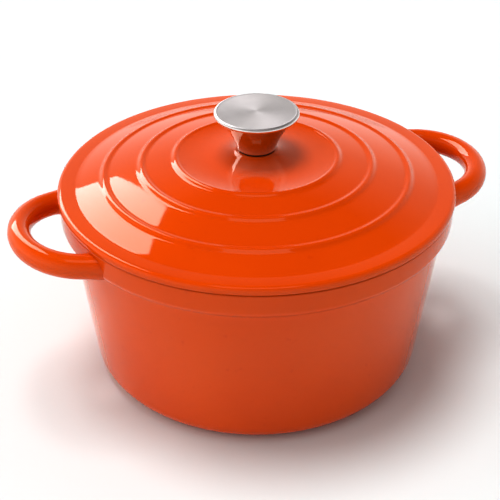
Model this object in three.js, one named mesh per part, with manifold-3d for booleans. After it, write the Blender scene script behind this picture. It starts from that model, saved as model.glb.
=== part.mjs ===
// Round cast iron dutch oven with a domed, ringed lid and a stainless steel knob.
// Millimetres, +Z up, origin at the middle of the pot's base, loop handles along X.
import * as THREE from "three";
import { mergeVertices } from "three/addons/utils/BufferGeometryUtils.js";
import Module from "manifold-3d";

const wasm = await Module();
wasm.setup();

// Pot
const POT_HEIGHT = 130; // base to the top of the rim
const FLOOR_THICKNESS = 4.6;
const WALL_THICKNESS = 3.8;
const BASE_RADIUS = 112.7; // where the outer wall would meet the base without its corner
const WALL_TAPER = 0.126; // growth of the radius for each millimetre of height
const BASE_CORNER = 15.5;
const INNER_CORNER = 13;
const MOUTH_RADIUS = 123.6;
const MOUTH_ROUND = 1.2;
const MOUTH_STRAIGHT = 18; // the mouth is straight for this far below the rim
const RIM_RADIUS = 132.1;
const RIM_ROUND = 0.9;
const COLLAR_RADIUS = 131.9; // just above the rounding of its lower edge
const COLLAR_EDGE_Z = 117.5;
const COLLAR_ROUND = 5.5; // convex lower edge
const COLLAR_FILLET = 4.2; // concave run into the wall
const COLLAR_TURN = 63.6; // degrees of the convex rounding before the fillet takes over

// Loop handles, cast in one with the pot
const HANDLE_CENTRE_X = 122.5;
const HANDLE_REACH = 161.4; // middle of the tube at its furthest point
const HANDLE_HALF_WIDTH = 42.8;
const HANDLE_ROOT_X = 114; // where the legs are buried in the wall
const HANDLE_ROOT_Z = 119.2;
const HANDLE_RISE = 4; // degrees, upwards from the wall
const HANDLE_SECTION_FLAT = 7.6;
const HANDLE_SECTION_TALL = 8.1;

// Lid
const GAP = 0.3; // between touching pieces
const LID_RADIUS = 133;
const LID_THICKNESS = 4.2;
const LID_SEAT_Z = POT_HEIGHT + GAP;
const LID_EDGE_FACE = 2.2;
const LID_EDGE_ROUND = 3.2;
const LID_EDGE_CHAMFER = 0.5; // under the edge
const BAND_INNER_RADIUS = 121.4; // flat band between the edge and the dome
const BAND_INNER_Z = 136.1;
const DOME_HEIGHT_Z = 157.2; // where the dome's curve would meet the axis
const DOME_FALL = 0.00146; // drop for each square millimetre of radius
const DOME_FLAT_RADIUS = 34; // inside this the casting flares up to the boss
const DOME_FLAT_Z = 154.3;
const RING_RADII = [101.9, 76.7, 54];
const RING_HEIGHT = 1.4;
const DOME_BETWEEN = [112, 90, 65.5]; // one more point of the dome outside each ring
const RING_HALF_WIDTH = 3.4;
const BOSS_RADIUS = 13.5;
const BOSS_Z = 157.7;
const BOSS_FLARE_OUT = 5; // the flare's pull, outwards and upwards
const BOSS_FLARE_UP = 0.6;
const FLANGE_OUTER = 121.9;
const FLANGE_INNER = 118;
const FLANGE_DEPTH = 5.5;
const FLANGE_CHAMFER = 1;
const FLANGE_DRAFT = 0.2;
const SCREW_HOLE_RADIUS = 3.7;
const UNDERSIDE_Z = 150.1; // flat seat for the washers in the middle of the underside
const UNDERSIDE_SEAT_RADIUS = 22;
const UNDERSIDE_RADII = [50, 70, 90, 106];

// Knob and its fastening
const GASKET_THICKNESS = 0.8;
const GASKET_RADIUS = 12.4;
const STEM_FOOT_Z = BOSS_Z + GAP + GASKET_THICKNESS + GAP;
const STEM_FOOT_RADIUS = 13.2;
const STEM_WAIST_OUT = 1.7; // pull of the curve between foot and mouth
const STEM_WAIST_SHARE = 0.47;
const STEM_HOLE_RADIUS = 3.4;
const STEM_MOUTH_RADIUS = 26.6;
const STEM_HEIGHT = 22.6;
const STEM_WALL = 1.5;
const STEM_FLOOR = 2.6;
const CAP_RADIUS = 28.2;
const CAP_TOP_Z = STEM_FOOT_Z + 26.2;
const CAP_RIM_ROUND = 1.9;
const CAP_UNDER_CHAMFER = 0.8;
const CAP_SPIGOT_RADIUS = 21.6;
const CAP_SPIGOT_DEPTH = 1.6;
const NUT_ACROSS_FLATS = 10;
const NUT_HEIGHT = 5;
const SCREW_RADIUS = 3;
const SCREW_HEAD_RADIUS = 5.9;
const SCREW_HEAD_HEIGHT = 3.4;
const SCREW_PROUD = 1.5; // past the nut
const SCREW_TIP_CHAMFER = 0.8;
const SCREW_CROWN = { flat: 2, shoulder: 0.6, low: 0.8, high: 2 }; // the head's rounded face
const SCREW_RECESS = { length: 6, width: 1.2, depth: 1.8 };
const SPRING_WASHER = { outer: 5.4, thickness: 1.6, slit: 1, slant: 25 };
const FLAT_WASHER = { outer: 7.5, thickness: 1.2 };
const WASHER_HOLE_RADIUS = 3.35;

// Facets around a full turn
const LARGE_TURN = 56;
const SMALL_TURN = 32;

// Straight pieces along a curve
const HANDLE_STEPS = 30;
const FLARE_STEPS = 5;
const STEM_STEPS = 7;

const enamel = () => new THREE.MeshStandardMaterial({ color: 0xd84a0c, roughness: 0.12 });
const polishedSteel = () =>
  new THREE.MeshStandardMaterial({ color: 0xd2cfcc, roughness: 0.08, metalness: 1 });
const brushedSteel = () =>
  new THREE.MeshStandardMaterial({ color: 0xb9b4b1, roughness: 0.34, metalness: 1 });
const zincSteel = () =>
  new THREE.MeshStandardMaterial({ color: 0xa8a8a6, roughness: 0.4, metalness: 1 });
const blackSilicone = () => new THREE.MeshStandardMaterial({ color: 0x1b1a19, roughness: 0.7 });

const at = (radius, z) => new THREE.Vector2(radius, z);

// Points of a round corner in a lathe profile; angles in degrees, anticlockwise from +radius.
function corner(radius, z, size, from, to, steps) {
  const points = [];
  for (let i = 0; i <= steps; i++) {
    const angle = THREE.MathUtils.degToRad(from + ((to - from) * i) / steps);
    points.push(at(radius + size * Math.cos(angle), z + size * Math.sin(angle)));
  }
  return points;
}

// Turns a profile of (radius, z) points about the Z axis.
function turned(profile, facets) {
  const geometry = new THREE.LatheGeometry(profile, facets);
  geometry.rotateX(Math.PI / 2);
  return geometry;
}

function solid(geometry) {
  const bare = geometry.clone();
  bare.deleteAttribute("normal");
  bare.deleteAttribute("uv");
  const merged = mergeVertices(bare, 1e-4);
  return new wasm.Manifold(
    new wasm.Mesh({
      numProp: 3,
      vertProperties: new Float32Array(merged.attributes.position.array),
      triVerts: new Uint32Array(merged.index.array),
    }),
  );
}

function geometryOf(body) {
  const mesh = body.getMesh();
  const geometry = new THREE.BufferGeometry();
  geometry.setAttribute("position", new THREE.BufferAttribute(mesh.vertProperties, 3));
  geometry.setIndex(new THREE.BufferAttribute(mesh.triVerts, 1));
  return geometry;
}

function named(name, geometry, material) {
  const mesh = new THREE.Mesh(geometry, material);
  mesh.name = name;
  return mesh;
}

const wallRadius = (z) => BASE_RADIUS + WALL_TAPER * z;
const domeZ = (radius) => DOME_HEIGHT_Z - DOME_FALL * radius * radius;
const onDome = (radius) => at(radius, domeZ(radius));
const underDome = (radius) => at(radius, domeZ(radius) - LID_THICKNESS);

// The outside of the pot as a solid of revolution: base, tapered wall, collar and rim.
function potOutside() {
  const cornerX = wallRadius(BASE_CORNER) - BASE_CORNER;
  const turn = THREE.MathUtils.degToRad(COLLAR_TURN);
  const roundX = COLLAR_RADIUS - COLLAR_ROUND;
  const bothRounds = COLLAR_ROUND + COLLAR_FILLET;
  const filletX = roundX + bothRounds * Math.cos(turn);
  const filletZ = COLLAR_EDGE_Z - bothRounds * Math.sin(turn);
  return turned(
    [
      at(0, 0),
      ...corner(cornerX, BASE_CORNER, BASE_CORNER, -90, -7, 7),
      ...corner(filletX, filletZ, COLLAR_FILLET, 180, 180 - COLLAR_TURN, 3),
      ...corner(roundX, COLLAR_EDGE_Z, COLLAR_ROUND, -COLLAR_TURN, 0, 4).slice(1),
      ...corner(RIM_RADIUS - RIM_ROUND, POT_HEIGHT - RIM_ROUND, RIM_ROUND, 0, 90, 2),
      at(0, POT_HEIGHT),
    ],
    LARGE_TURN,
  );
}

// The hollow that is taken out of the pot, open above the rim.
function potHollow() {
  const innerRadius = (z) => wallRadius(z) - WALL_THICKNESS;
  const cornerZ = FLOOR_THICKNESS + INNER_CORNER;
  return turned(
    [
      at(0, FLOOR_THICKNESS),
      ...corner(innerRadius(cornerZ) - INNER_CORNER, cornerZ, INNER_CORNER, -90, -7, 6),
      at(MOUTH_RADIUS, POT_HEIGHT - MOUTH_STRAIGHT),
      at(MOUTH_RADIUS, POT_HEIGHT - MOUTH_ROUND),
      at(MOUTH_RADIUS + MOUTH_ROUND, POT_HEIGHT),
      at(MOUTH_RADIUS + MOUTH_ROUND, POT_HEIGHT + 2 * MOUTH_ROUND),
      at(0, POT_HEIGHT + 2 * MOUTH_ROUND),
    ],
    LARGE_TURN,
  );
}

// One loop handle on the +X side: an oval tube along half an ellipse with short straight legs.
function loopHandle() {
  const reach = HANDLE_REACH - HANDLE_CENTRE_X;
  const points = [new THREE.Vector3(HANDLE_ROOT_X, -HANDLE_HALF_WIDTH, 0)];
  for (let degrees = -90; degrees <= 90; degrees += 15) {
    const angle = THREE.MathUtils.degToRad(degrees);
    const x = HANDLE_CENTRE_X + reach * Math.cos(angle);
    points.push(new THREE.Vector3(x, HANDLE_HALF_WIDTH * Math.sin(angle), 0));
  }
  points.push(new THREE.Vector3(HANDLE_ROOT_X, HANDLE_HALF_WIDTH, 0));
  const section = new THREE.Shape();
  section.absellipse(0, 0, HANDLE_SECTION_TALL, HANDLE_SECTION_FLAT, 0, 2 * Math.PI);
  const geometry = new THREE.ExtrudeGeometry(section, {
    extrudePath: new THREE.CatmullRomCurve3(points),
    steps: HANDLE_STEPS,
    curveSegments: 7,
  });
  geometry.translate(-HANDLE_CENTRE_X, 0, 0);
  geometry.rotateY(-THREE.MathUtils.degToRad(HANDLE_RISE));
  geometry.translate(HANDLE_CENTRE_X, 0, HANDLE_ROOT_Z);
  return geometry;
}

function pot() {
  const handle = loopHandle();
  const opposite = handle.clone().rotateZ(Math.PI);
  const cast = solid(potOutside()).add(solid(handle)).add(solid(opposite));
  return named("pot", geometryOf(cast.subtract(solid(potHollow()))), enamel());
}

// A raised ring on the dome, from its outer foot over the crest to its inner foot.
function raisedRing(radius) {
  const rise = (share) => RING_HEIGHT * Math.cos((share * Math.PI) / 2) ** 2;
  return [1, 0.5, 0, -0.5, -1].map((share) => {
    const r = radius + share * RING_HALF_WIDTH;
    return at(r, domeZ(r) + rise(share));
  });
}

// The concave flare from the dome up to the boss that carries the knob.
function bossFlare() {
  const flare = new THREE.QuadraticBezierCurve(
    at(DOME_FLAT_RADIUS, DOME_FLAT_Z),
    at(BOSS_RADIUS + BOSS_FLARE_OUT, DOME_FLAT_Z + BOSS_FLARE_UP),
    at(BOSS_RADIUS, BOSS_Z),
  );
  return flare.getPoints(FLARE_STEPS);
}

function lid() {
  const edgeZ = LID_SEAT_Z + LID_EDGE_FACE;
  const roundX = LID_RADIUS - LID_EDGE_ROUND;
  const flangeZ = LID_SEAT_Z - FLANGE_DEPTH;
  const start = at(FLANGE_OUTER, LID_SEAT_Z);
  const profile = [
    start,
    at(LID_RADIUS - LID_EDGE_CHAMFER, LID_SEAT_Z),
    at(LID_RADIUS, LID_SEAT_Z + LID_EDGE_CHAMFER),
    ...corner(roundX, edgeZ, LID_EDGE_ROUND, 0, 86, 4),
    at(BAND_INNER_RADIUS + 2, BAND_INNER_Z - 0.3),
    onDome(BAND_INNER_RADIUS - 2),
    ...RING_RADII.flatMap((radius, i) => [onDome(DOME_BETWEEN[i]), ...raisedRing(radius)]),
    ...bossFlare(),
    at(SCREW_HOLE_RADIUS, BOSS_Z),
    at(SCREW_HOLE_RADIUS, UNDERSIDE_Z),
    at(UNDERSIDE_SEAT_RADIUS, UNDERSIDE_Z),
    ...UNDERSIDE_RADII.map(underDome),
    at(FLANGE_INNER - 1, underDome(FLANGE_INNER).y - 0.6),
    at(FLANGE_INNER, flangeZ + FLANGE_CHAMFER),
    at(FLANGE_INNER + FLANGE_CHAMFER, flangeZ),
    at(FLANGE_OUTER - FLANGE_DRAFT - FLANGE_CHAMFER, flangeZ),
    at(FLANGE_OUTER - FLANGE_DRAFT, flangeZ + FLANGE_CHAMFER),
    start.clone(),
  ];
  return named("lid", turned(profile, LARGE_TURN), enamel());
}

// A flat ring on the axis, closed on itself.
function flatRing(inner, outer, lowZ, thickness, facets) {
  const highZ = lowZ + thickness;
  const start = at(inner, lowZ);
  return turned([start, at(outer, lowZ), at(outer, highZ), at(inner, highZ), start.clone()], facets);
}

function knobGasket() {
  const disc = flatRing(SCREW_HOLE_RADIUS, GASKET_RADIUS, BOSS_Z + GAP, GASKET_THICKNESS, SMALL_TURN);
  return named("knob_gasket", disc, blackSilicone());
}

// The outer curve of the stem, from its foot to its mouth; inset moves it inwards.
function stemCurve(inset, lowest) {
  const curve = new THREE.QuadraticBezierCurve(
    at(STEM_FOOT_RADIUS - inset, STEM_FOOT_Z + lowest),
    at(STEM_FOOT_RADIUS + STEM_WAIST_OUT - inset, STEM_FOOT_Z + STEM_WAIST_SHARE * STEM_HEIGHT),
    at(STEM_MOUTH_RADIUS - inset, STEM_FOOT_Z + STEM_HEIGHT),
  );
  return curve.getPoints(STEM_STEPS);
}

function knobStem() {
  const start = at(STEM_HOLE_RADIUS, STEM_FOOT_Z);
  const profile = [
    start,
    at(STEM_FOOT_RADIUS - 0.5, STEM_FOOT_Z),
    ...stemCurve(0, 0.5),
    ...stemCurve(STEM_WALL, STEM_FLOOR).reverse(),
    at(STEM_HOLE_RADIUS, STEM_FOOT_Z + STEM_FLOOR),
    start.clone(),
  ];
  return named("knob_stem", turned(profile, SMALL_TURN), polishedSteel());
}

function knobCap() {
  const underZ = STEM_FOOT_Z + STEM_HEIGHT + GAP;
  const profile = [
    at(0, underZ - CAP_SPIGOT_DEPTH),
    at(CAP_SPIGOT_RADIUS, underZ - CAP_SPIGOT_DEPTH),
    at(CAP_SPIGOT_RADIUS, underZ),
    at(CAP_RADIUS - CAP_UNDER_CHAMFER, underZ),
    ...corner(CAP_RADIUS - CAP_RIM_ROUND, CAP_TOP_Z - CAP_RIM_ROUND, CAP_RIM_ROUND, -20, 90, 5),
    at(0, CAP_TOP_Z),
  ];
  return named("knob_cap", turned(profile, SMALL_TURN), brushedSteel());
}

function knobNut() {
  const radius = NUT_ACROSS_FLATS / Math.sqrt(3);
  const corners = [0, 1, 2, 3, 4, 5].map((side) => {
    const angle = (side * Math.PI) / 3;
    return at(radius * Math.cos(angle), radius * Math.sin(angle));
  });
  const shape = new THREE.Shape(corners);
  const bore = new THREE.Path();
  bore.absarc(0, 0, SCREW_RADIUS + GAP, 0, 2 * Math.PI);
  shape.holes.push(bore);
  const geometry = new THREE.ExtrudeGeometry(shape, {
    depth: NUT_HEIGHT,
    bevelEnabled: false,
    curveSegments: 20,
  });
  geometry.translate(0, 0, STEM_FOOT_Z + STEM_FLOOR + GAP);
  return named("knob_nut", geometry, zincSteel());
}

function flatWasher() {
  const { outer, thickness } = FLAT_WASHER;
  const disc = flatRing(WASHER_HOLE_RADIUS, outer, UNDERSIDE_Z - GAP - thickness, thickness, SMALL_TURN);
  return named("flat_washer", disc, zincSteel());
}

const springWasherTop = UNDERSIDE_Z - GAP - FLAT_WASHER.thickness - GAP;

// Split ring, open on one side.
function springWasher() {
  const { outer, thickness, slit, slant } = SPRING_WASHER;
  const whole = flatRing(WASHER_HOLE_RADIUS, outer, springWasherTop - thickness, thickness, SMALL_TURN);
  const gap = new THREE.BoxGeometry(outer, slit, 3 * thickness);
  gap.rotateX(THREE.MathUtils.degToRad(slant));
  gap.translate(outer, 0, springWasherTop - thickness / 2);
  return named("spring_washer", geometryOf(solid(whole).subtract(solid(gap))), zincSteel());
}

// Pan-head screw with a cross recess, from under the lid into the nut.
function knobScrew() {
  const headTop = springWasherTop - SPRING_WASHER.thickness - GAP;
  const headLow = headTop - SCREW_HEAD_HEIGHT;
  const tip = STEM_FOOT_Z + STEM_FLOOR + NUT_HEIGHT + SCREW_PROUD;
  const { flat, shoulder, low, high } = SCREW_CROWN;
  const shape = turned(
    [
      at(0, headLow),
      at(SCREW_HEAD_RADIUS - flat, headLow),
      at(SCREW_HEAD_RADIUS - shoulder, headLow + low),
      at(SCREW_HEAD_RADIUS, headLow + high),
      at(SCREW_HEAD_RADIUS, headTop),
      at(SCREW_RADIUS, headTop),
      at(SCREW_RADIUS, tip - SCREW_TIP_CHAMFER),
      at(SCREW_RADIUS - SCREW_TIP_CHAMFER, tip),
      at(0, tip),
    ],
    SMALL_TURN,
  );
  const { length, width, depth } = SCREW_RECESS;
  const slot = new THREE.BoxGeometry(length, width, 2 * depth);
  slot.translate(0, 0, headLow);
  const cross = slot.clone().rotateZ(Math.PI / 2);
  const body = solid(shape).subtract(solid(slot)).subtract(solid(cross));
  return named("knob_screw", geometryOf(body), zincSteel());
}

const dutchOven = new THREE.Group();
dutchOven.add(pot());

const lidAndKnob = new THREE.Group();
lidAndKnob.add(lid(), knobGasket(), knobStem(), knobCap(), knobNut());
lidAndKnob.add(flatWasher(), springWasher(), knobScrew());
dutchOven.add(lidAndKnob);

export default dutchOven;
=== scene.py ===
from math import atan2, cos, pi, radians, sin

import bmesh
import bpy
from mathutils import Matrix, Vector
from mathutils.geometry import interpolate_bezier


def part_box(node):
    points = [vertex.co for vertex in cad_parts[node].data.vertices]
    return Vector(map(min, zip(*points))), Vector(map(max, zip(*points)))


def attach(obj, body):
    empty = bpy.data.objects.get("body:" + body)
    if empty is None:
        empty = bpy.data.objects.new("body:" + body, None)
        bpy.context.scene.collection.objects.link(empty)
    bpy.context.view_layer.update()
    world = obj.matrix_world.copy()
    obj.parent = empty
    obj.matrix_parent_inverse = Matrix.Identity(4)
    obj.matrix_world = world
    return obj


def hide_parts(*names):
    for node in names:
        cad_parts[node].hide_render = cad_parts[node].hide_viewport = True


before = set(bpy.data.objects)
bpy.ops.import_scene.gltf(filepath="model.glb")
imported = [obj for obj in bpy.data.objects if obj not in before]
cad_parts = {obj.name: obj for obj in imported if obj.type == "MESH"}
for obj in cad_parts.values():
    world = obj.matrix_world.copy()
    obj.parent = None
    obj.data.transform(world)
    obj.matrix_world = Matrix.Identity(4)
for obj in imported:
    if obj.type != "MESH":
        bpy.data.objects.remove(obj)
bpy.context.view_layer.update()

# The camera stands a little above the lid, in front and to the left of the pot, so that
# the handle on the -X side is the nearer one.
pot_low, pot_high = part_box("pot")
TARGET_ABOVE_RIM = 0.0023
CAMERA_TARGET = Vector((0, 0, pot_high.z + TARGET_ABOVE_RIM))
CAMERA_AWAY = 0.813
CAMERA_AZIMUTH = radians(-20.78)
CAMERA_ELEVATION = radians(29.16)
CAMERA_DIP = radians(32.39)
CAMERA_HEADING = radians(-20.42)
CAMERA_ROLL = radians(-0.09)
SENSOR_WIDTH = 36
FOCAL_LENGTH = 86.8

camera = bpy.data.objects.new("camera", bpy.data.cameras.new("camera"))
bpy.context.scene.collection.objects.link(camera)
bpy.context.scene.camera = camera
camera.data.sensor_width = SENSOR_WIDTH
camera.data.lens = FOCAL_LENGTH
camera.data.clip_start = 0.05
camera.data.clip_end = 60
away_flat = CAMERA_AWAY * cos(CAMERA_ELEVATION)
camera_place = CAMERA_TARGET + Vector((
    away_flat * sin(CAMERA_AZIMUTH),
    -away_flat * cos(CAMERA_AZIMUTH),
    CAMERA_AWAY * sin(CAMERA_ELEVATION),
))
camera.matrix_world = (
    Matrix.Translation(camera_place)
    @ Matrix.Rotation(CAMERA_HEADING, 4, "Z")
    @ Matrix.Rotation(pi / 2 - CAMERA_DIP, 4, "X")
    @ Matrix.Rotation(CAMERA_ROLL, 4, "Z")
)

# Pot casting: a round sand-cast iron pot with its two loop handles poured in one with it.
# Glossy orange enamel is fired on the outside, cream enamel on the inside, and the ground
# rim that carries the lid is left matt and dark.
POT_STEPS = 144
BASE_RADIUS = 0.1127
BASE_CORNER = 0.0137
COLLAR_UNDER = (0.12675, 0.11154, 0.0022)
COLLAR_EDGE = (0.1319, 0.11409, 0.0034)
RIM_RADIUS = 0.1321
RIM_ROUND = 0.0016
FLAT_UPWARDS = 0.9
MOUTH_RADIUS = 0.1236
MOUTH_ROUND = 0.0012
MOUTH_STRAIGHT = 0.018
MOUTH_BEND = 0.006
FLOOR_THICKNESS = 0.0046
FLOOR_RADIUS = 0.1095
FLOOR_CORNER = 0.0115
SHARP_ANGLE = radians(34)
ROUNDING_SEGMENTS = 7
SAME_PLACE = 1e-6


def chain(bm, points, closed=False):
    """Edges through (radius, z, rounding) points; a rounding starts that far from its point."""
    verts = [bm.verts.new((radius, 0, z)) for radius, z, _ in points]
    for pair in zip(verts, verts[1:] + verts[:1] if closed else verts[1:]):
        bm.edges.new(pair)
    for vert, (_, _, rounding) in zip(verts, points):
        if rounding:
            bmesh.ops.bevel(
                bm, geom=[vert], offset=rounding, offset_type="OFFSET", affect="VERTICES",
                segments=ROUNDING_SEGMENTS, profile=0.5, material=-1,
            )


def turned(points, steps, closed=False):
    """A solid of revolution about Z from a half section, with its seam and poles closed."""
    bm = bmesh.new()
    chain(bm, points, closed)
    bmesh.ops.spin(
        bm, geom=[*bm.verts, *bm.edges], cent=(0, 0, 0), axis=(0, 0, 1),
        angle=2 * pi, steps=steps, use_merge=True,
    )
    bmesh.ops.remove_doubles(bm, verts=bm.verts, dist=SAME_PLACE)
    bmesh.ops.recalc_face_normals(bm, faces=bm.faces)
    return bm


def piece(name, bm, finishes, choose=None):
    """Turns a mesh into a named object. choose gives a face's finish from its distance to the
    axis, its height, and how far it faces outwards and upwards."""
    for face in bm.faces:
        face.smooth = True
        if choose:
            middle = face.calc_center_median()
            radius = max(middle.xy.length, SAME_PLACE)
            outwards = face.normal.xy.dot(middle.xy) / radius
            face.material_index = choose(radius, middle.z, outwards, face.normal.z)
    for edge in bm.edges:
        edge.smooth = edge.is_manifold and edge.calc_face_angle() < SHARP_ANGLE
    made = bpy.data.objects.new(name, bpy.data.meshes.new(name))
    bm.to_mesh(made.data)
    bm.free()
    for finish in finishes:
        made.data.materials.append(finish)
    bpy.context.scene.collection.objects.link(made)
    return made


class Wire:
    """A socket in a finish's nodes. Sums and products of wires add Math nodes."""

    def __init__(self, tree, socket):
        self.tree = tree
        self.socket = socket

    def node(self, kind, settings=None, inputs=None, output=0):
        """Adds one node: its settings first, then the values or wires of its sockets."""
        added = self.tree.nodes.new(kind)
        for name, value in (settings or {}).items():
            if name == "stops":
                ramp = added.color_ramp
                while len(ramp.elements) < len(value):
                    ramp.elements.new(1)
                for element, (position, colour) in zip(ramp.elements, value):
                    element.position = position
                    element.color = (*colour, 1)
            else:
                setattr(added, name, value)
        for name, value in (inputs or {}).items():
            if isinstance(value, Wire):
                self.tree.links.new(value.socket, added.inputs[name])
            else:
                added.inputs[name].default_value = value
        return Wire(self.tree, added.outputs[output])

    def maths(self, operation, first, second=0):
        return self.node("ShaderNodeMath", {"operation": operation}, {0: first, 1: second})

    def __add__(self, other):
        return self.maths("ADD", self, other)

    def __mul__(self, other):
        return self.maths("MULTIPLY", self, other)

    __radd__ = __add__
    __rmul__ = __mul__

    def ramp(self, low, high):
        """0 where this is at most low, 1 where it is at least high, smooth between."""
        return self.node(
            "ShaderNodeMapRange", {"interpolation_type": "SMOOTHSTEP"},
            {"Value": self, "From Min": low, "From Max": high},
        )

    def mixed(self, dark, light):
        """A colour between two others; this is the share of the second."""
        return self.node(
            "ShaderNodeMix", {"data_type": "RGBA"}, {0: self, 6: dark, 7: light}, output=2
        )

    def noise(self, scale, detail=2, roughness=0.5):
        return self.node(
            "ShaderNodeTexNoise", {},
            {"Vector": self, "Scale": scale, "Detail": detail, "Roughness": roughness},
        )

    def bump(self, depth, under=None):
        """A normal from this as a height, in metres at 1."""
        inputs = {"Height": self, "Distance": depth, "Strength": 1}
        if under:
            inputs["Normal"] = under
        return self.node("ShaderNodeBump", {}, inputs)

    def feeds(self, name):
        self.tree.links.new(self.socket, self.tree.nodes["Principled BSDF"].inputs[name])


def new_finish(name, values):
    """A material and its Object coordinates; the values are the same all over the surface."""
    material = bpy.data.materials.new(name)
    material.use_nodes = True
    tree = material.node_tree
    for socket, value in values.items():
        tree.nodes["Principled BSDF"].inputs[socket].default_value = value
    coordinates = tree.nodes.new("ShaderNodeTexCoord")
    return material, Wire(tree, coordinates.outputs["Object"])


def part_of(place, axis):
    return place.node("ShaderNodeSeparateXYZ", {}, {"Vector": place}, output=axis)


def radius_of(place):
    """Distance from the pot's axis."""
    x, y = part_of(place, "X"), part_of(place, "Y")
    return place.maths("SQRT", x * x + y * y)


def orange_enamel():
    glass = {"IOR": 1.5, "Specular IOR Level": 0.42, "Specular Tint": (1, 1, 0.8, 1)}
    material, place = new_finish("orange_enamel", glass)
    thick, thin, burnt = (0.68, 0.083, 0.001, 1), (0.72, 0.093, 0.0014, 1), (0.55, 0.04, 0.001, 1)
    shade = place.noise(9, 3).ramp(0.35, 0.65).mixed(thick, thin)
    speck = place.noise(160, 2).ramp(0.66, 0.8)
    (speck * 0.25).mixed(shade, burnt).feeds("Base Color")
    (0.03 + 0.04 * place.noise(22, 3)).feeds("Roughness")
    peel = place.noise(420, 1)
    swell = place.noise(30, 1)
    peel.bump(0.000004, swell.bump(0.00006)).feeds("Normal")
    return material


def cream_enamel():
    material, place = new_finish("cream_enamel", {"IOR": 1.5, "Specular IOR Level": 0.5})
    thick, thin, brown = (0.74, 0.67, 0.53, 1), (0.8, 0.74, 0.61, 1), (0.42, 0.33, 0.22, 1)
    shade = place.noise(12, 3).ramp(0.35, 0.65).mixed(thick, thin)
    speck = place.noise(520, 1).ramp(0.7, 0.78)
    (speck * 0.35).mixed(shade, brown).feeds("Base Color")
    (0.1 + 0.08 * place.noise(25, 3)).feeds("Roughness")
    place.noise(380, 1).bump(0.000015).feeds("Normal")
    return material


def bare_iron():
    material, place = new_finish("matt_rim_iron", {"IOR": 1.5, "Specular IOR Level": 0.35})
    dark, pale = (0.022, 0.019, 0.018, 1), (0.055, 0.048, 0.044, 1)
    pits = place.noise(900, 3, 0.6)
    pits.ramp(0.3, 0.7).mixed(dark, pale).feeds("Base Color")
    (0.5 + 0.25 * pits).feeds("Roughness")
    pits.bump(0.00006).feeds("Normal")
    return material


ORANGE, CREAM, BARE = 0, 1, 2
enamels = [orange_enamel(), cream_enamel(), bare_iron()]
rim_z = pot_high.z

# A handle's path is half an ellipse on two short straight legs that are buried in the wall, and
# it rises a little outwards.
HANDLE_CENTRE_X = 0.1225
HANDLE_REACH = 0.0388
HANDLE_HALF_WIDTH = 0.0428
HANDLE_ROOT_Z = 0.1192
HANDLE_RISE = radians(4)
HANDLE_FLAT = 0.0076
HANDLE_TALL = 0.0081
HANDLE_LEG = 0.0045
HANDLE_LEG_SHARE = 0.1
HANDLE_STATIONS = 60
HANDLE_SECTION = 32
FLARE_START = 0.1395
FLARE_END = 0.1316
FLARE_POWER = 2.6
FLARE_FLAT = 0.4
FLARE_TALL = 0.1


def handle_section(bm, share):
    """One oval ring of the handle. share runs from -1 to 1, and its ends are the straight legs. The
    ring widens and turns square to the collar where it runs into it."""
    bend = 1 - HANDLE_LEG_SHARE
    angle = max(-pi / 2, min(pi / 2, share * pi / 2 / bend))
    leg = HANDLE_LEG * max(0, abs(share) - bend) / HANDLE_LEG_SHARE
    x = HANDLE_CENTRE_X + HANDLE_REACH * cos(angle) - leg
    y = HANDLE_HALF_WIDTH * sin(angle)
    out = Vector((x, y))
    near = max(0, min(1, (FLARE_START - out.length) / (FLARE_START - FLARE_END)))
    flat = HANDLE_FLAT * (1 + FLARE_FLAT * near ** FLARE_POWER)
    tall = HANDLE_TALL * (1 + FLARE_TALL * near ** FLARE_POWER)
    along = Vector((-HANDLE_REACH * sin(angle), HANDLE_HALF_WIDTH * cos(angle))).normalized()
    square = out.normalized() * (1 if share < 0 else -1)
    along = along.lerp(square, near ** 2)
    ring = bmesh.ops.create_circle(bm, segments=HANDLE_SECTION, radius=1)
    heading = atan2(along.y, along.x) + pi / 2
    turn = Matrix.Rotation(heading, 4, "Z") @ Matrix.Rotation(pi / 2, 4, "X")
    bmesh.ops.transform(
        bm, verts=ring["verts"],
        matrix=Matrix.Translation((x, y, 0)) @ turn @ Matrix.Diagonal((flat, tall, 1, 1)),
    )
    return ring["verts"]


def loop_handle(bm):
    """Bridges the rings from root to root, closes the buried ends and lifts the loop to its place."""
    before, made = None, []
    for station in range(HANDLE_STATIONS + 1):
        ring = handle_section(bm, 2 * station / HANDLE_STATIONS - 1)
        made += ring
        edges = list({e for v in ring for e in v.link_edges if e.is_wire})
        if before:
            bmesh.ops.bridge_loops(bm, edges=before + edges)
        if station in (0, HANDLE_STATIONS):
            bm.faces.new(ring)
        before = edges
    rise = (
        Matrix.Translation((HANDLE_CENTRE_X, 0, HANDLE_ROOT_Z))
        @ Matrix.Rotation(-HANDLE_RISE, 4, "Y")
        @ Matrix.Translation((-HANDLE_CENTRE_X, 0, 0))
    )
    bmesh.ops.transform(bm, verts=made, matrix=rise)


def pot_finish(radius, z, outwards, upwards):
    if radius > RIM_RADIUS:
        return ORANGE
    if z > rim_z - RIM_ROUND and upwards > FLAT_UPWARDS:
        return BARE
    inside = radius < MOUTH_RADIUS + MOUTH_ROUND and z > FLOOR_THICKNESS / 2
    return CREAM if inside and outwards < 0.5 and upwards > -0.5 else ORANGE


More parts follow.
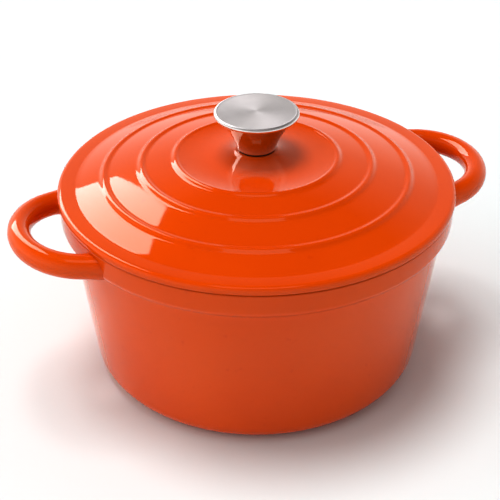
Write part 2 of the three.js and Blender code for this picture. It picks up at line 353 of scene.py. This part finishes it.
casting = turned(
    [
        (0, pot_low.z, 0),
        (BASE_RADIUS, pot_low.z, BASE_CORNER),
        COLLAR_UNDER,
        COLLAR_EDGE,
        (RIM_RADIUS, rim_z, RIM_ROUND),
        (MOUTH_RADIUS, rim_z, MOUTH_ROUND),
        (MOUTH_RADIUS, rim_z - MOUTH_STRAIGHT, MOUTH_BEND),
        (FLOOR_RADIUS, pot_low.z + FLOOR_THICKNESS, FLOOR_CORNER),
        (0, pot_low.z + FLOOR_THICKNESS, 0),
    ],
    POT_STEPS,
)
handles = bmesh.new()
loop_handle(handles)
bmesh.ops.recalc_face_normals(handles, faces=handles.faces)
loop = bpy.data.meshes.new("loop")
handles.to_mesh(loop)
casting.from_mesh(loop)
bmesh.ops.rotate(handles, verts=handles.verts, cent=(0, 0, 0), matrix=Matrix.Rotation(pi, 3, "Z"))
handles.to_mesh(loop)
casting.from_mesh(loop)
handles.free()

pot = piece("pot_casting", casting, enamels, pot_finish)
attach(pot, "pot")
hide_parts("pot")

# Lid casting: a shallow iron dome with three raised rings, a flat band along its edge, a small
# boss for the knob and a flange that drops into the pot's mouth. Orange enamel above, cream
# below, and a matt ground seat.
LID_STEPS = 168
LID_THICKNESS = 0.0042
LID_EDGE_ROUND = 0.0031
LID_SEAT_ROUND = 0.0012
LID_EDGE_HEIGHT = 0.0054
BAND_INNER = (0.1212, 0.13595)
DOME_HEIGHT = 0.1572
DOME_FALL = 1.46
DOME_FLAT = (0.034, 0.1543)
DOME_OUTER = 0.1185
DOME_INNER = 0.0506
DOME_STEP = 0.00085
RING_RADII = (0.1019, 0.0767, 0.054)
RING_HEIGHT = 0.0014
RING_HALF_WIDTH = 0.0034
BAND_BEND = 0.0007
BOSS_RADIUS = 0.0135
BOSS_FLARE = Vector((0.005, 0.0006))
BOSS_FLARE_POINTS = 14
SCREW_HOLE = 0.0037
FLANGE_OUTER = 0.1219
FLANGE_INNER = 0.118
FLANGE_DRAFT = 0.0001
FLANGE_FOOT = (0.0008, 0.0006)
FLANGE_ROUND_OUT = 0.0012
FLANGE_ROUND_IN = 0.001
UNDERSIDE_Z = 0.1501
UNDERSIDE_SEAT = 0.022
UNDERSIDE_RADII = (0.05, 0.07, 0.09, 0.106)
UNDERSIDE_BEND = 0.003
SMALL_ROUND = 0.0003
NEAR_ENOUGH = 0.0002
LID_GAP = 0.0003
lid_low, lid_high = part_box("lid")
seat_z = rim_z + LID_GAP


def dome_z(radius):
    """Height of the dome, with the rings that stand on it."""
    rings = 0
    for ring in RING_RADII:
        share = abs(radius - ring) / RING_HALF_WIDTH
        rings += RING_HEIGHT * cos(share * pi / 2) ** 2 if share < 1 else 0
    return DOME_HEIGHT - DOME_FALL * radius ** 2 + rings


def under_z(radius):
    return DOME_HEIGHT - DOME_FALL * radius ** 2 - LID_THICKNESS


def swept(start, control, end, count):
    """Points of a smooth curve that leaves start and reaches end in the directions of control."""
    start, control, end = (Vector((*p, 0)) for p in (start, control, end))
    leaving, reaching = start.lerp(control, 2 / 3), end.lerp(control, 2 / 3)
    curve = interpolate_bezier(start, leaving, reaching, end, count)
    return [(p.x, p.y, 0) for p in curve]


def lid_finish(radius, z, outwards, upwards):
    if radius < SCREW_HOLE + NEAR_ENOUGH:
        return BARE
    if radius < FLANGE_OUTER + NEAR_ENOUGH / 2:
        return CREAM if z < seat_z + NEAR_ENOUGH or upwards < 0 else ORANGE
    return BARE if upwards < -FLAT_UPWARDS else ORANGE


dome_count = round((DOME_OUTER - DOME_INNER) / DOME_STEP)
dome_radii = [DOME_OUTER - DOME_STEP * i for i in range(dome_count)]
flare_pull = (BOSS_RADIUS + BOSS_FLARE.x, DOME_FLAT[1] + BOSS_FLARE.y)
casting = turned(
    [
        (FLANGE_OUTER, seat_z, SMALL_ROUND),
        (lid_high.x, seat_z, LID_SEAT_ROUND),
        (lid_high.x, seat_z + LID_EDGE_HEIGHT, LID_EDGE_ROUND),
        (*BAND_INNER, BAND_BEND),
        *[(radius, dome_z(radius), 0) for radius in dome_radii],
        *swept(DOME_FLAT, flare_pull, (BOSS_RADIUS, lid_high.z), BOSS_FLARE_POINTS),
        (SCREW_HOLE, lid_high.z, SMALL_ROUND),
        (SCREW_HOLE, UNDERSIDE_Z, SMALL_ROUND),
        (UNDERSIDE_SEAT, UNDERSIDE_Z, UNDERSIDE_BEND),
        *[(radius, under_z(radius), 0) for radius in UNDERSIDE_RADII],
        (FLANGE_INNER - FLANGE_FOOT[0], under_z(FLANGE_INNER) - FLANGE_FOOT[1], UNDERSIDE_BEND),
        (FLANGE_INNER, lid_low.z, FLANGE_ROUND_IN),
        (FLANGE_OUTER - FLANGE_DRAFT, lid_low.z, FLANGE_ROUND_OUT),
    ],
    LID_STEPS,
    closed=True,
)
lid = piece("lid_casting", casting, enamels, lid_finish)
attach(lid, "lid")
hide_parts("lid")

# Knob gasket: a thin ring punched from black silicone sheet, pinched between the lid's boss
# and the foot of the knob.
SMALL_STEPS = 96
GASKET_ROUND = 0.0002
gasket_low, gasket_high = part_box("knob_gasket")


def flat_ring(inner, outer, low, high, rounding):
    """A washer with softened edges."""
    return turned(
        [
            (inner, low, rounding), (outer, low, rounding),
            (outer, high, rounding), (inner, high, rounding),
        ],
        SMALL_STEPS,
        closed=True,
    )


def black_silicone():
    material, place = new_finish("black_silicone", {"IOR": 1.41, "Specular IOR Level": 0.4})
    clean, dusty = (0.008, 0.008, 0.008, 1), (0.022, 0.021, 0.02, 1)
    dust = place.noise(700, 3)
    dust.ramp(0.3, 0.8).mixed(clean, dusty).feeds("Base Color")
    (0.5 + 0.2 * dust).feeds("Roughness")
    place.noise(2500, 2).bump(0.00002).feeds("Normal")
    return material


gasket = piece(
    "knob_gasket_ring",
    flat_ring(SCREW_HOLE, gasket_high.x, gasket_low.z, gasket_high.z, GASKET_ROUND),
    [black_silicone()],
)
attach(gasket, "lid")
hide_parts("knob_gasket")

# Knob stem: a trumpet drawn from stainless sheet and buffed to a mirror, with a flat foot
# that the screw pulls down on the gasket.
STEM_WALL = 0.0015
STEM_FLOOR = 0.0026
STEM_FOOT = 0.0132
STEM_WAIST = 0.0017
STEM_WAIST_HEIGHT = 0.47
STEM_HOLE = 0.0034
STEM_FOOT_ROUND = 0.0005
STEM_FOOT_IN = 0.0004
STEM_EDGE = 0.0002
STEM_OUTER_POINTS = 28
STEM_INNER_POINTS = 20
stem_low, stem_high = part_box("knob_stem")
stem_height = stem_high.z - stem_low.z


def stem_curve(inset, lowest, count):
    """The trumpet's curve, from its foot to its mouth; inset moves it towards the axis."""
    return swept(
        (STEM_FOOT - inset, stem_low.z + lowest),
        (STEM_FOOT + STEM_WAIST - inset, stem_low.z + STEM_WAIST_HEIGHT * stem_height),
        (stem_high.x - inset, stem_high.z),
        count,
    )


def polished_stainless():
    material, place = new_finish("polished_stainless", {"Metallic": 1})
    dark, pale = (0.76, 0.72, 0.7, 1), (0.84, 0.8, 0.78, 1)
    smear = place.noise(60, 3)
    smear.ramp(0.3, 0.7).mixed(dark, pale).feeds("Base Color")
    (0.05 + 0.06 * smear).feeds("Roughness")
    place.noise(300, 1).bump(0.000004).feeds("Normal")
    return material


mirror_steel = polished_stainless()
stem = piece(
    "knob_stem_trumpet",
    turned(
        [
            (STEM_HOLE, stem_low.z, STEM_EDGE),
            (STEM_FOOT - STEM_FOOT_IN, stem_low.z, 0),
            *stem_curve(0, STEM_FOOT_ROUND, STEM_OUTER_POINTS),
            *reversed(stem_curve(STEM_WALL, STEM_FLOOR, STEM_INNER_POINTS)),
            (STEM_HOLE, stem_low.z + STEM_FLOOR, STEM_EDGE),
        ],
        SMALL_STEPS,
        closed=True,
    ),
    [mirror_steel],
)
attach(stem, "lid")
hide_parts("knob_stem")

# Knob cap: a solid stainless disc turned on a lathe. Its face is brushed in circles and its
# rolled rim is buffed; a spigot under it is pressed into the stem.
CAP_STEPS = 128
CAP_RIM_ROUND = 0.0019
CAP_FACE_RADIUS = 0.0261
CAP_FACE_SINK = 0.00012
CAP_FACE_STEP = 0.0003
CAP_UNDER_IN = 0.0003
CAP_UNDER_ROUND = 0.0009
CAP_FACE_UPWARDS = 0.6
CAP_SPIGOT_RADIUS = 0.0216
CAP_SPIGOT_DEPTH = 0.0016
cap_low, cap_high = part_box("knob_cap")
cap_under = cap_low.z + CAP_SPIGOT_DEPTH


def brushed_stainless():
    material, place = new_finish("brushed_stainless", {"Metallic": 1, "Anisotropic": 0.25})
    dark, pale = (0.73, 0.68, 0.66, 1), (0.84, 0.79, 0.77, 1)
    radius = radius_of(place)
    turn_line = radius.node(
        "ShaderNodeTexNoise", {"noise_dimensions": "1D"},
        {"W": radius, "Scale": 5200, "Detail": 3, "Roughness": 0.7},
    )
    smear = place.noise(70, 3)
    tone = 0.6 * turn_line + 0.4 * smear
    tone.ramp(0.3, 0.7).mixed(dark, pale).feeds("Base Color")
    (0.44 + 0.1 * turn_line).feeds("Roughness")
    turn_line.bump(0.000006).feeds("Normal")
    return material


FACE, RIM = 0, 1
cap = piece(
    "knob_cap_disc",
    turned(
        [
            (0, cap_low.z, 0),
            (CAP_SPIGOT_RADIUS, cap_low.z, SMALL_ROUND),
            (CAP_SPIGOT_RADIUS, cap_under, 0),
            (cap_high.x - CAP_UNDER_IN, cap_under, CAP_UNDER_ROUND),
            (cap_high.x, cap_high.z, CAP_RIM_ROUND),
            (CAP_FACE_RADIUS, cap_high.z, 0),
            (CAP_FACE_RADIUS - CAP_FACE_STEP, cap_high.z - CAP_FACE_SINK, 0),
            (CAP_FACE_RADIUS - 2 * CAP_FACE_STEP, cap_high.z - CAP_FACE_SINK, 0),
            (0, cap_high.z - CAP_FACE_SINK, 0),
        ],
        CAP_STEPS,
    ),
    [brushed_stainless(), mirror_steel],
    lambda radius, z, outwards, upwards: FACE if upwards > CAP_FACE_UPWARDS else RIM,
)
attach(cap, "lid")
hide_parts("knob_cap")

# Knob nut: a plated hexagon nut inside the stem, cold formed with chamfered corners, that the
# screw pulls against the stem's floor.
NUT_CHAMFER = 0.0006
NUT_BORE_STEPS = 48
SCREW_RADIUS = 0.003
THREAD_GAP = 0.0003
CORNER_ANGLE = radians(40)
nut_low, nut_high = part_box("knob_nut")


def zinc_plate():
    material, place = new_finish("zinc_plate", {"Metallic": 1})
    dark, pale = (0.42, 0.43, 0.43, 1), (0.6, 0.6, 0.58, 1)
    bloom = place.noise(500, 3)
    bloom.ramp(0.3, 0.7).mixed(dark, pale).feeds("Base Color")
    (0.28 + 0.2 * bloom).feeds("Roughness")
    place.noise(2600, 2).bump(0.000008).feeds("Normal")
    return material


plated = zinc_plate()
bore = SCREW_RADIUS + THREAD_GAP

hexagon = bmesh.new()
corner_ring = bmesh.ops.create_circle(hexagon, segments=6, radius=nut_high.x)["verts"]
bmesh.ops.create_circle(hexagon, segments=NUT_BORE_STEPS, radius=bore)
first_corner = corner_ring[0].co
bmesh.ops.rotate(
    hexagon, verts=corner_ring, cent=(0, 0, 0),
    matrix=Matrix.Rotation(-atan2(first_corner.y, first_corner.x), 3, "Z"),
)
bmesh.ops.triangle_fill(hexagon, edges=hexagon.edges, use_beauty=True)
raised = bmesh.ops.extrude_face_region(hexagon, geom=hexagon.faces[:])["geom"]
bmesh.ops.translate(
    hexagon, verts=[g for g in raised if isinstance(g, bmesh.types.BMVert)],
    vec=(0, 0, nut_high.z - nut_low.z),
)
bmesh.ops.translate(hexagon, verts=hexagon.verts, vec=(0, 0, nut_low.z))
bmesh.ops.recalc_face_normals(hexagon, faces=hexagon.faces)
corner_edges = [
    e for e in hexagon.edges
    if e.calc_face_angle(0) > CORNER_ANGLE and min(v.co.xy.length for v in e.verts) > bore + NUT_CHAMFER
]
bmesh.ops.bevel(
    hexagon, geom=corner_edges, offset=NUT_CHAMFER, offset_type="OFFSET", segments=2,
    profile=0.5, affect="EDGES", material=-1,
)
nut = piece("knob_hexagon_nut", hexagon, [plated])
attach(nut, "lid")
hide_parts("knob_nut")

# Washers under the lid: a flat one stamped from sheet, and a split spring washer below it
# that keeps the screw from working loose.
WASHER_HOLE = 0.00335
WASHER_ROUND = 0.00015
SPRING_SPLIT = radians(11)
SPRING_ROUND = 0.0002
flat_low, flat_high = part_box("flat_washer")
spring_low, spring_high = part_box("spring_washer")

washer = piece(
    "flat_washer_ring",
    flat_ring(WASHER_HOLE, flat_high.x, flat_low.z, flat_high.z, WASHER_ROUND),
    [plated],
)
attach(washer, "lid")
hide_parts("flat_washer")

coil = bmesh.new()
section = bmesh.ops.create_grid(coil, x_segments=1, y_segments=1, size=0.5)["verts"]
section_size = (spring_high.y - WASHER_HOLE, spring_high.z - spring_low.z, 1, 1)
section_place = ((WASHER_HOLE + spring_high.y) / 2, 0, (spring_low.z + spring_high.z) / 2)
bmesh.ops.transform(
    coil, verts=section,
    matrix=Matrix.Translation(section_place)
    @ Matrix.Rotation(pi / 2, 4, "X")
    @ Matrix.Diagonal(section_size),
)
bmesh.ops.bevel(
    coil, geom=coil.verts[:], offset=SPRING_ROUND, offset_type="OFFSET", segments=3,
    profile=0.5, affect="VERTICES", material=-1,
)
bmesh.ops.rotate(
    coil, verts=coil.verts, cent=(0, 0, 0), matrix=Matrix.Rotation(SPRING_SPLIT / 2, 3, "Z")
)
bmesh.ops.spin(
    coil, geom=[*coil.faces, *coil.edges, *coil.verts], cent=(0, 0, 0), axis=(0, 0, 1),
    angle=2 * pi - SPRING_SPLIT, steps=SMALL_STEPS, use_merge=False,
)
bmesh.ops.recalc_face_normals(coil, faces=coil.faces)
spring = piece("spring_washer_coil", coil, [plated])
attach(spring, "lid")
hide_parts("spring_washer")

# Knob screw: a plated pan-head machine screw, cold headed, with a rolled thread and a cross
# recess. It is put in from under the lid, through the washers and the stem, into the nut.
HEAD_RADIUS = 0.0059
HEAD_HEIGHT = 0.0034
HEAD_CROWN = 0.0021
HEAD_EDGE = 0.0002
RECESS_LENGTH = 0.006
RECESS_WIDTH = 0.0012
RECESS_DEPTH = 0.0018
SCREW_STEPS = 64
THREAD_PITCH = 0.001
THREAD_DEPTH = 0.0004
THREAD_START = 0.002
THREAD_TURNS = 16
TIP_LENGTH = 0.001
TIP_IN = 0.0008
screw_low, screw_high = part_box("knob_screw")
head_top = screw_low.z + HEAD_HEIGHT
groove = [
    (SCREW_RADIUS - THREAD_DEPTH * (i % 2), head_top + THREAD_START + THREAD_PITCH * i / 2, 0)
    for i in range(2 * THREAD_TURNS + 1)
]
shank = turned(
    [
        (0, screw_low.z, 0),
        (HEAD_RADIUS, screw_low.z, HEAD_CROWN),
        (HEAD_RADIUS, head_top, HEAD_EDGE),
        (SCREW_RADIUS, head_top, 0),
        *[p for p in groove if p[1] < screw_high.z - TIP_LENGTH],
        (SCREW_RADIUS - TIP_IN, screw_high.z, 0),
        (0, screw_high.z, 0),
    ],
    SCREW_STEPS,
)
screw = piece("knob_pan_head_screw", shank, [plated])


def recess_cutter():
    """Two crossed blades with tapered ends, as a driver's point leaves them."""
    bm = bmesh.new()
    for turn in (0, pi / 2):
        blade = bmesh.ops.create_cube(bm, size=1)["verts"]
        bmesh.ops.transform(
            bm, verts=blade,
            matrix=Matrix.Translation((0, 0, screw_low.z))
            @ Matrix.Rotation(turn, 4, "Z")
            @ Matrix.Diagonal((RECESS_LENGTH, RECESS_WIDTH, 2 * RECESS_DEPTH, 1)),
        )
        deep = [v for v in blade if v.co.z > screw_low.z]
        bmesh.ops.scale(bm, verts=deep, vec=(0.5, 0.5, 1))
    return piece("recess_cutter", bm, [plated])


cutter = recess_cutter()
cut = screw.modifiers.new("recess", "BOOLEAN")
cut.object = cutter
cut.operation = "DIFFERENCE"
cut.use_self = True
evaluated = screw.evaluated_get(bpy.context.evaluated_depsgraph_get())
recessed = bpy.data.meshes.new_from_object(evaluated)
screw.modifiers.clear()
screw.data = recessed
bpy.data.objects.remove(cutter)
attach(screw, "lid")
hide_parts("knob_screw")

# Floor: a matt white sweep, and the studio round it. The room is pale at the horizon, dark
# overhead and brightest on the window's side; soft lights hang to the left and above.
FLOOR_HALF = 6.0
FLOOR_GAP = 0.0002
ground = bmesh.new()
bmesh.ops.create_grid(ground, x_segments=1, y_segments=1, size=FLOOR_HALF)
bmesh.ops.translate(ground, verts=ground.verts, vec=(0, 0, pot_low.z - FLOOR_GAP))


def white_sweep():
    material, place = new_finish("white_sweep", {"Specular IOR Level": 0, "Roughness": 0.9})
    place.noise(0.8, 1).mixed((0.76, 0.79, 0.79, 1), (0.77, 0.8, 0.8, 1)).feeds("Base Color")
    return material


floor = piece("floor", ground, [white_sweep()])

world = bpy.data.worlds.new("studio")
bpy.context.scene.world = world
world.use_nodes = True
room = world.node_tree
direction = Wire(room, room.nodes.new("ShaderNodeTexCoord").outputs["Generated"])
height = part_of(direction, "Z")
BRIGHTNESS_BY_HEIGHT = (
    (0.0, 1.46), (0.14, 1.36), (0.28, 1.09), (0.41, 0.8), (0.53, 0.64), (0.64, 0.32), (0.73, 0.03),
)
stops = [(sine, (brightness,) * 3) for sine, brightness in BRIGHTNESS_BY_HEIGHT]
glow = height.node("ShaderNodeValToRGB", {"stops": stops}, {"Fac": height})
seen = Wire(room, room.nodes.new("ShaderNodeLightPath").outputs["Is Camera Ray"])
backdrop = seen.mixed(glow, (0.99, 0.985, 0.985, 1))
room.links.new(backdrop.socket, room.nodes["Background"].inputs["Color"])
window_way = Matrix.Rotation(CAMERA_AZIMUTH, 3, "Z") @ Vector((-0.7, 0.7, 0))
facing = direction.node(
    "ShaderNodeVectorMath", {"operation": "DOT_PRODUCT"}, {0: direction, 1: window_way},
    output="Value",
)
strength = 0.55 + 0.45 * facing.ramp(-0.9, 0.4)
strength = strength.maths("MAXIMUM", strength, seen)
room.links.new(strength.socket, room.nodes["Background"].inputs["Strength"])


def lamp(name, kind, power, place, facing, along=(1, 0, 0)):
    """A light at a place seen from behind the camera: right, away and up from the lid."""
    data = bpy.data.lights.new(name, kind)
    data.energy = power
    made = bpy.data.objects.new(name, data)
    bpy.context.scene.collection.objects.link(made)
    back = -Vector(facing).normalized()
    up = back.cross(Vector(along)).normalized()
    axes = Matrix((up.cross(back), up, back)).transposed()
    turn = Matrix.Rotation(CAMERA_AZIMUTH, 4, "Z")
    stand = Matrix.Translation(CAMERA_TARGET) @ turn @ Matrix.Translation(place)
    made.matrix_world = stand @ axes.to_4x4()
    made.visible_camera = False
    return made


def softbox(name, place, facing, along, size, brightness, colour=(1, 1, 1)):
    """A panel that shows in the gloss of the enamel and the steel."""
    made = lamp(name, "AREA", brightness * pi * size[0] * size[1], place, facing, along)
    made.data.shape = "RECTANGLE"
    made.data.size, made.data.size_y = size
    made.data.color = colour
    made.visible_diffuse = False


def wash(name, place, power, spread):
    """An even soft light on all that is matt; spread is the width of its source, in degrees."""
    made = lamp(name, "SUN", power, place, -Vector(place))
    made.data.angle = radians(spread)
    made.visible_glossy = False


softbox(
    "window_box", (-0.86, 1.29, 1.17), (0.957, 0.256, -0.1225), (0.157, -0.837, -0.524),
    (2.2, 1.11), 7.4, (1, 1.02, 1.08),
)
softbox("top_box", (0, -0.9, 2.8), (0, 0.9, -2.8), (1, 0, 0), (1.6, 1.2), 1.4)
wash("key_wash", (-0.45, 0.27, 2.92), 1.95, 26)
wash("ceiling_wash", (0, 0, 3), 0.8, 120)
wash("left_wash", (-2.2, -0.7, 1.7), 0.9, 60)

bpy.context.scene.view_settings.view_transform = "Standard"
bpy.context.scene.view_settings.look = "None"
bpy.context.scene.view_settings.gamma = 0.75
